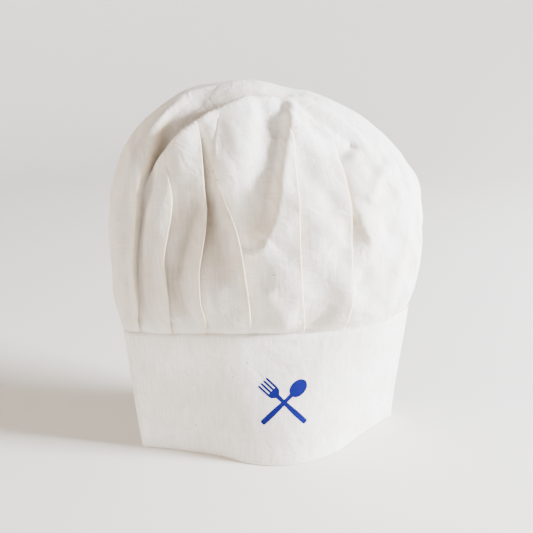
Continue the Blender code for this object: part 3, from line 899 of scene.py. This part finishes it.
def band_ripple(stations, levels):
    """Soft waves in the band's front where the stiffener has gone limp."""
    place = np.interp(stations, fine, seam_lengths)
    up = levels / BAND_HEIGHT
    calm = np.sin(math.pi * np.clip(up, 0, 1)) ** 0.7 * ease((place - 8 * MM) / (20 * MM)) \
        * ease((strip_length - place - 62 * MM) / (20 * MM))
    return calm * MM * (0.55 * np.sin(place / (13 * MM) + 2.2 * up)
                        + 0.4 * np.sin(place / (31 * MM) - 4 * up + 1))


def strip_cloth(name, distances, depths, levels, wall, material):
    """A strip along the band, its section given by depths and heights; it follows the waves."""
    stations, depths, levels = station_at(distances)[None, :], depths[:, None], levels[:, None]
    spots = band_points(stations, depths - band_ripple(stations, levels), levels)
    return sheet_object(name, spots, wall, material)


depths, levels = folded_section(0, 0, BAND_HEIGHT, 26)
band = strip_cloth("band_cloth", np.linspace(0, strip_length, 300), depths, levels, BAND_CLOTH,
                   band_calico)
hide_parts("band")
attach(band, "hat")
print("band cloth faces:", len(band.data.polygons))

# %% [markdown]
# ## The print
# The real hat carries a mark in blue. This one has a plain kitchen sign in its place: a crossed
# fork and spoon. It could be painted in the band's material through a mask; cut from strips of
# thin film that follow the band's outer face, its edges are sharp and it bends with the cloth.

# %% Print the fork and spoon
INK_LIFT = 0.12 * MM
PRINT_STATION = 10.3
PRINT_HEIGHT = 57 * MM
print_distance = np.interp(PRINT_STATION, fine, seam_lengths)
sign = bmesh.new()
sign_uv = sign.loops.layers.uv.new("cloth")


def on_band(right, up):
    """Points on the band's outer face, so far to the right of the print's middle and above it."""
    stations = station_at(print_distance - right)
    levels = PRINT_HEIGHT + up
    return band_points(stations, -INK_LIFT - band_ripple(stations, levels), levels)


def ink_strip(spine, widths, turn, across=5):
    """A strip of ink along a spine of (across, up) in mm, turned about the print's middle."""
    spine, widths = np.array(spine, float), np.array(widths, float)
    lengths = walk(spine)
    even = np.linspace(0, lengths[-1], max(3, round(lengths[-1] / 0.8)))
    line = np.stack([np.interp(even, lengths, spine[:, i]) for i in (0, 1)], axis=1)
    half = np.interp(even, lengths, widths) / 2
    along = unit(np.gradient(line, axis=0))
    side = np.stack([along[:, 1], -along[:, 0]], axis=1)
    flat = line[:, None, :] + side[:, None, :] * half[:, None, None] \
        * np.linspace(-1, 1, across)[None, :, None]
    cos, sin = math.cos(turn), math.sin(turn)
    right = (flat[..., 0] * cos - flat[..., 1] * sin) * MM
    up = (flat[..., 0] * sin + flat[..., 1] * cos) * MM
    spots = on_band(right, up)
    patch = bmesh.ops.create_grid(sign, x_segments=across - 1, y_segments=len(even) - 1, size=0.5)
    for vert in patch["verts"]:
        j = round((vert.co.x + 0.5) * (across - 1))
        i = round((vert.co.y + 0.5) * (len(even) - 1))
        vert.co = spots[i, j]
        for loop in vert.link_loops:
            loop[sign_uv].uv = (right[i, j], up[i, j])


def bowl_widths(length, width, count=15):
    """The widths of an oval of this length, from end to end."""
    t = np.linspace(-1, 1, count)
    return width * np.sqrt(np.maximum(1 - t ** 2, 0.0004)), length * (t + 1) / 2


SPOON_TURN, FORK_TURN = math.radians(-46), math.radians(46)
widths, climb = bowl_widths(18, 13)
ink_strip([(0, 8 + c) for c in climb], widths, SPOON_TURN, across=7)
ink_strip([(0, -27), (0, -26), (0, -14), (0, 4), (0, 10)], [2.6, 4.8, 5.0, 3.4, 3.8], SPOON_TURN)
ink_strip([(0, -27), (0, -26), (0, -14), (0, 2), (0, 9)], [2.6, 4.8, 5.0, 3.4, 4.2], FORK_TURN)
ink_strip([(0, 7.5), (0, 9), (0, 11), (0, 14.5)], [3.4, 7.0, 10.6, 11.6], FORK_TURN)
for prong in (-4.8, -1.6, 1.6, 4.8):
    ink_strip([(prong, 14.3), (prong, 24.5), (prong, 26)], [2.0, 1.9, 0.8], FORK_TURN, across=3)
bmesh.ops.recalc_face_normals(sign, faces=sign.faces)
kitchen_sign = mesh_object("kitchen_sign", sign, ink, smooth=False)
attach(kitchen_sign, "hat")
print("print, mm:", [round(v / MM) for v in kitchen_sign.dimensions])

# %% [markdown]
# ## The closure tab
# The band's right end runs on as a tab that laps over the left end. It is sewn in between the
# band's plies, so it starts thin inside them and fills out to its own folded thickness. It bends
# just outside the band's end, where the joint is. A bevelled box would be quicker, but it would not
# follow the band's curve, and its edge would have no fold.

# %% Make the closure tab
TAB_LENGTH = 60 * MM
TAB_LOW = 1 * MM
TAB_HIGH = BAND_HEIGHT - 1 * MM
TAB_DEPTH = -5.5 * MM                 # its outer face, outside the left end it laps over
TAB_ROOT = 7 * MM                     # how far it reaches into the band's right end
TAB_EDGE = 3 * MM                     # the tip thins over this length
TAB_CORNER = 7 * MM                   # the radius of its two corners
OVERLAP_CORE = BAND_THICKNESS / 2


runs = np.concatenate([np.linspace(-TAB_ROOT, 12 * MM, 24)[:-1],
                       np.linspace(12 * MM, TAB_LENGTH, 30)])
grown = ease((runs + 0.5 * MM) / (4 * MM))            # 0 inside the band, 1 outside it
tip_round, corner_round = (np.clip(1 - (1 - np.clip((TAB_LENGTH - runs) / radius, 0, 1)) ** 2, 0, 1)
                           for radius in (TAB_EDGE, TAB_CORNER))
half_thick = (0.22 + 0.70 * grown) * MM * np.sqrt(np.maximum(tip_round, 0.02))
corner = TAB_CORNER * (1 - np.sqrt(corner_round))
low = (TAB_LOW + BAND_CLOTH / 2) * grown + 2.4 * MM * (1 - grown) + corner
high = (TAB_HIGH - BAND_CLOTH / 2) * grown + (BAND_HEIGHT - 3 * MM) * (1 - grown) - corner

# Once round the tab's section: up the outer ply, over the top, down the inner ply, and under.
ply, turn = np.linspace(0, 1, 34), np.linspace(0, math.pi, 7)[1:-1]
flat_part = np.ones_like(ply)
section_depth = np.concatenate([-flat_part, -np.cos(turn), flat_part, np.cos(turn), [-1]])
section_level = np.concatenate([ply, np.ones_like(turn), ply[::-1], np.zeros_like(turn), [0]])
section_bulge = np.concatenate([0 * ply, np.sin(turn), 0 * ply, -np.sin(turn), [0]])
section_depth, section_level, section_bulge = (
    v[:, None] for v in (section_depth, section_level, section_bulge))
levels = low + half_thick + (high - low - 2 * half_thick) * section_level \
    + half_thick * section_bulge
limp = 0.18 * MM * np.sin(runs / (9 * MM)) * np.sin(levels / (17 * MM)) \
    * ease((runs - 8 * MM) / (10 * MM))
# The part that is sewn in runs back along the right end; the rest laps over the left end.
stations = np.where(runs < 0, station_at(-runs), station_at(strip_length - np.maximum(runs, 0)))
depths = OVERLAP_CORE + half_thick * section_depth + limp + np.where(runs < 0, 0, TAB_DEPTH)
tab = sheet_object("tab_cloth", band_points(stations, depths, levels), BAND_CLOTH, band_calico)
tab_weld = bmesh.new()
tab_weld.from_mesh(tab.data)
bmesh.ops.remove_doubles(tab_weld, verts=tab_weld.verts, dist=0.01 * MM)
tab_weld.to_mesh(tab.data)
tab_weld.free()
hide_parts("closure_tab")
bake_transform(tab)
print("tab, mm:", [round(v / MM, 1) for v in tab.dimensions])

# %% [markdown]
# ## Hook and loop tape
# The band's left end carries the loops and the tab carries the hooks. Both are a thin woven
# backing; one side is brushed into a pile, the other has rows of little moulded hooks. Hair would
# be thousands of fibres; a fine grid whose corners stand up by chance reads as pile.

# %% Weave the loop tape
LOOP_TAPE = (5 * MM, 55 * MM)         # from and to, along the strip from its left end
HOOK_TAPE = (29 * MM, 54 * MM)
TAPE_MARGIN = 11 * MM
LOOP_DEPTH = -0.8 * MM                # the tapes' middles, outside the band's outer face
HOOK_DEPTH = -2.1 * MM
TAPE_BACKING = 0.4 * MM


def left_end_points(distances, depths, levels):
    """Points beside the band's left end: distance is along the strip from that end."""
    return band_points(station_at(strip_length - distances), depths, levels)


pile_random = np.random.default_rng(11)
TUFT_ROWS, TUFT_COLUMNS = 118, 64
across = np.linspace(*LOOP_TAPE, TUFT_COLUMNS)[None, :]
up = np.linspace(TAPE_MARGIN, BAND_HEIGHT - TAPE_MARGIN, TUFT_ROWS)[:, None]
rim = ease(np.minimum(across - LOOP_TAPE[0], LOOP_TAPE[1] - across) / (1.5 * MM)) \
    * ease(np.minimum(up - TAPE_MARGIN, BAND_HEIGHT - TAPE_MARGIN - up) / (1.5 * MM))
tufts = pile_random.uniform(0, 1, (TUFT_ROWS, TUFT_COLUMNS))
pile = 0.5 * TAPE_BACKING + rim * (0.2 + 0.35 * tufts) * MM
loops = sheet_object("loop_tape_pile", left_end_points(across, LOOP_DEPTH + 0.2 * MM - pile, up),
                     TAPE_BACKING, loop_nylon)
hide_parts("loop_tape")
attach(loops, "hat")
print("loop tape tufts:", tufts.size)

# %% [markdown]
# ## Hooks
# The hook tape's backing is made solid first, then each hook is a stem and a shorter beak that
# leans left or right, row by row. A bump would look flat from the side, and the opened tab shows
# this face.

# %% Mould the hook tape
HOOK_PITCH = 1.9 * MM
HOOK_HEIGHT = 0.62 * MM
STEM = 0.26 * MM
backing_depth = HOOK_DEPTH - 0.5 * MM + TAPE_BACKING / 2
across = np.linspace(*HOOK_TAPE, 14)[None, :]
up = np.linspace(TAPE_MARGIN, BAND_HEIGHT - TAPE_MARGIN, 20)[:, None]
hooks = sheet_object("hook_tape_hooks", left_end_points(across, backing_depth, up), TAPE_BACKING,
                     hook_nylon)
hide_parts("hook_tape")
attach(hooks, "tab")
thickened = bmesh.new()
thickened.from_object(hooks, bpy.context.evaluated_depsgraph_get())
hooks.modifiers.clear()
hook_rows = np.arange(TAPE_MARGIN + 4 * MM, BAND_HEIGHT - TAPE_MARGIN - 3.5 * MM, HOOK_PITCH)
hook_columns = np.arange(HOOK_TAPE[0] + 3.6 * MM, HOOK_TAPE[1] - 3.4 * MM, HOOK_PITCH)
for i, level in enumerate(hook_rows):
    for distance in hook_columns:
        lean = 0.35 * MM * (1 if i % 2 else -1)
        root, top, beak = left_end_points(
            np.array([distance, distance + 0.2 * lean, distance + lean]),
            backing_depth + np.array([0.1 * MM, HOOK_HEIGHT, 0.75 * HOOK_HEIGHT]), level)
        for start, end, thick in ((root, top, STEM), (top, beak, 0.8 * STEM)):
            start, end = Vector(start), Vector(end)
            turn = (end - start).to_track_quat("Z", "Y").to_matrix().to_4x4()
            turn.translation = (start + end) / 2
            bmesh.ops.create_cone(thickened, cap_ends=True, segments=5, radius1=thick / 2,
                                  radius2=0.35 * thick, depth=(end - start).length * 1.1,
                                  matrix=turn)
thickened.to_mesh(hooks.data)
thickened.free()
print("hooks:", len(hook_rows) * len(hook_columns))

# %% [markdown]
# ## Stitches
# A lockstitch shows as a row of short raised grains with a small gap between them, each pulled
# down into the cloth at its ends. It could be drawn in the cloth's material; a grain of thread of
# its own catches the light, so one with few faces is laid again and again along each seam.

# %% Sew the seams
STITCH_PITCH = 3.0 * MM
STITCH_LENGTH = 2.5 * MM
THREAD = 0.5 * MM
STITCH_INSET = 2.5 * MM
INSIDE = BAND_THICKNESS + 0.3 * MM


def lay_stitches(seams, path, length=STITCH_LENGTH, pitch=STITCH_PITCH):
    """Grains of thread along a path of points."""
    path = np.asarray(path)
    walked = walk(path)
    for middle in np.arange(pitch / 2, walked[-1], pitch):
        start, end = (Vector([np.interp(middle + half, walked, path[:, i]) for i in range(3)])
                      for half in (-length / 2, length / 2))
        grain = bmesh.ops.create_icosphere(seams, subdivisions=1, radius=0.5)["verts"]
        turn = (end - start).to_track_quat("Z", "Y").to_matrix()
        bmesh.ops.scale(seams, vec=(THREAD, THREAD, length), verts=grain)
        bmesh.ops.rotate(seams, cent=(0, 0, 0), matrix=turn, verts=grain)
        bmesh.ops.translate(seams, vec=(start + end) / 2, verts=grain)


def sewn(name, seams, body, *replaced):
    """The piece made of one seam's stitches."""
    piece = mesh_object(name, seams, thread_polyester)
    if replaced:
        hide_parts(*replaced)
    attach(piece, body)
    return piece


def tape_frame(tape, depth):
    """A rectangle just inside a tape's edges."""
    near, far = tape[0] + STITCH_INSET, tape[1] - STITCH_INSET
    low, high = TAPE_MARGIN + STITCH_INSET, BAND_HEIGHT - TAPE_MARGIN - STITCH_INSET
    corners = [(near, low), (far, low), (far, high), (near, high), (near, low)]
    steps = np.linspace(0, 1, 40)
    distances, levels = (np.concatenate([start[i] + (end[i] - start[i]) * steps
                                         for start, end in zip(corners, corners[1:])])
                         for i in (0, 1))
    return left_end_points(distances, depth, levels)


loop_seam = bmesh.new()
lay_stitches(loop_seam, tape_frame(LOOP_TAPE, INSIDE))
lay_stitches(loop_seam, tape_frame(LOOP_TAPE, LOOP_DEPTH - 0.45 * MM))
loop_stitches = sewn("loop_tape_stitches", loop_seam, "hat", "loop_tape_stitching")

hook_seam = bmesh.new()
lay_stitches(hook_seam, tape_frame(HOOK_TAPE, TAB_DEPTH - 0.2 * MM))
lay_stitches(hook_seam, tape_frame(HOOK_TAPE, backing_depth + 0.35 * MM))
hook_stitches = sewn("hook_tape_stitches", hook_seam, "tab", "hook_tape_stitching")

band_seam = bmesh.new()
SEAM_HEIGHT = BAND_HEIGHT - 4 * MM
stations = station_at(np.linspace(4 * MM, strip_length - 4 * MM, 500))
lay_stitches(band_seam, band_points(stations, INSIDE - band_ripple(stations, SEAM_HEIGHT),
                                    SEAM_HEIGHT))
band_stitches = sewn("band_seam_stitches", band_seam, "hat", "band_seam_stitching")
print("seams' faces:", [len(o.data.polygons) for o in (loop_stitches, hook_stitches, band_stitches)])

# %% [markdown]
# ## The slit's bindings and bartack
# The crown is slit at the back above the closure. Each raw edge is bound with a narrow strip folded
# round it, and a bartack, a bar of packed stitches, stops the slit from tearing further.

# %% Bind the slit
BINDING_WIDTH = 5 * MM
BINDING_LIFT = 0.75 * MM
BINDING_CLOTH = 0.35 * MM
BARTACK_LENGTH = 16 * MM


def binding(name, edge, inner, *replaced):
    """A strip folded round an edge of the crown; inner is a line in the cloth beside the edge."""
    rows = slice(first_bound, slit_row - 1)
    edge, inner = edge[rows], inner[rows]
    inward = unit(inner - edge)
    normal = unit(np.cross(inward, np.gradient(edge, axis=0)))
    section = [(1, 1), (0.5, 1.1), (0.05, 1), (-0.12, 0.55), (-0.16, 0), (-0.12, -0.55),
               (0.05, -1), (0.5, -1.1), (1, -1)]
    places = np.stack([edge + inward * w * BINDING_WIDTH + normal * n * BINDING_LIFT
                       for w, n in section], axis=1)
    strip = sheet_object(name, places, BINDING_CLOTH, crown_calico)
    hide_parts(*replaced)
    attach(strip, "hat")
    return strip


first_bound = np.searchsorted(crown_rows, BAND_HEIGHT + 4 * MM)
right_edge, left_edge = places[:, 0], places[:, -1]
right_binding = binding("slit_binding_right_strip", right_edge, places[:, 2], "slit_binding_right")
left_binding = binding("slit_binding_left_strip", left_edge, places[:, -3], "slit_binding_left")

bar = bmesh.new()
across_slit = right_edge[slit_row] - left_edge[slit_row]
half_bar = BARTACK_LENGTH / 2 * unit(across_slit)
middle = (right_edge[slit_row] + left_edge[slit_row]) / 2 + np.array([0, 1.0 * MM, 2.0 * MM])
lay_stitches(bar, [middle - half_bar, middle + half_bar], 4 * MM, 3.6 * MM)
for step in np.linspace(-1, 1, 27):
    spot = middle + half_bar * step + np.array([0, 0.25 * MM, 0])
    lay_stitches(bar, [spot - [0, 0, 1.1 * MM], spot + [0, 0, 1.1 * MM]], 2.0 * MM, 2.2 * MM)
bartack = sewn("slit_bartack_stitches", bar, "hat", "slit_bartack")
print("bartack's middle, mm:", np.round(middle / MM))

# %% [markdown]
# ## A thread end
# One thread was never trimmed: it stands up from the peak like a hair.

# %% Leave a thread end
flat = places.reshape(-1, 3)
root = flat[np.argmin(((flat - np.array([2, 12, 311]) * MM) ** 2).sum(axis=1))]
loose = bmesh.new()
lay_stitches(loose, root + np.array([(0, 0, 0), (0.6, 0, 2.5), (0.3, 0, 5.5)]) * MM,
             2.2 * MM, 1.6 * MM)
thread_end = sewn("thread_end", loose, "hat")
print("thread end starts at, mm:", np.round(root / MM))

# %% [markdown]
# ## Care label and stiffeners
# A loop of satin ribbon is caught under the seam inside the band; it is left blank. The stiffeners
# are hidden inside the band and the tab, and keep their solids with a buckram finish.

# %% Hang the care label
LABEL_CLOTH = 0.3 * MM
label_top = SEAM_HEIGHT - 2 * MM
label_drop = 28 * MM
near = INSIDE + LABEL_CLOTH / 2 + 0.45 * MM
gap = 3 * LABEL_CLOTH
down = np.linspace(0, 1, 16)
bend = np.linspace(0, math.pi, 7)[1:-1]
label_depths = np.concatenate([near + 0.4 * MM * np.sin(down * 5),
                               near + gap / 2 - gap / 2 * np.cos(bend),
                               near + gap + 0.8 * MM * np.sin(down[::-1] * 3.2)])
label_levels = np.concatenate([label_top - label_drop * down,
                               label_top - label_drop - gap / 2 * np.sin(bend),
                               label_top - label_drop * down[::-1]])
label = strip_cloth("care_label_blank", np.linspace(28 * MM, 58 * MM, 24), label_depths,
                    label_levels, LABEL_CLOTH, label_satin)
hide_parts("care_label")
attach(label, "hat")

for name in ("band_stiffener", "tab_stiffener"):
    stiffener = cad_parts[name]
    stiffener.data.materials.clear()
    stiffener.data.materials.append(buckram)
print("label, mm:", [round(v / MM, 1) for v in label.dimensions])

# %% [markdown]
# ## What each cloth was cut from
# The crown is a disc half a metre across, pleated into the band all round. The band and the tab
# are strips folded lengthwise over their stiffeners, and the label is a ribbon folded in half. The
# sizes are those of the flat pieces on the cutting table.

for piece in (crown, band, tab, label, loops):
    area = sum(face.area for face in piece.data.polygons)
    print(f"{piece.name}: {area:.4f} m2 of cloth")
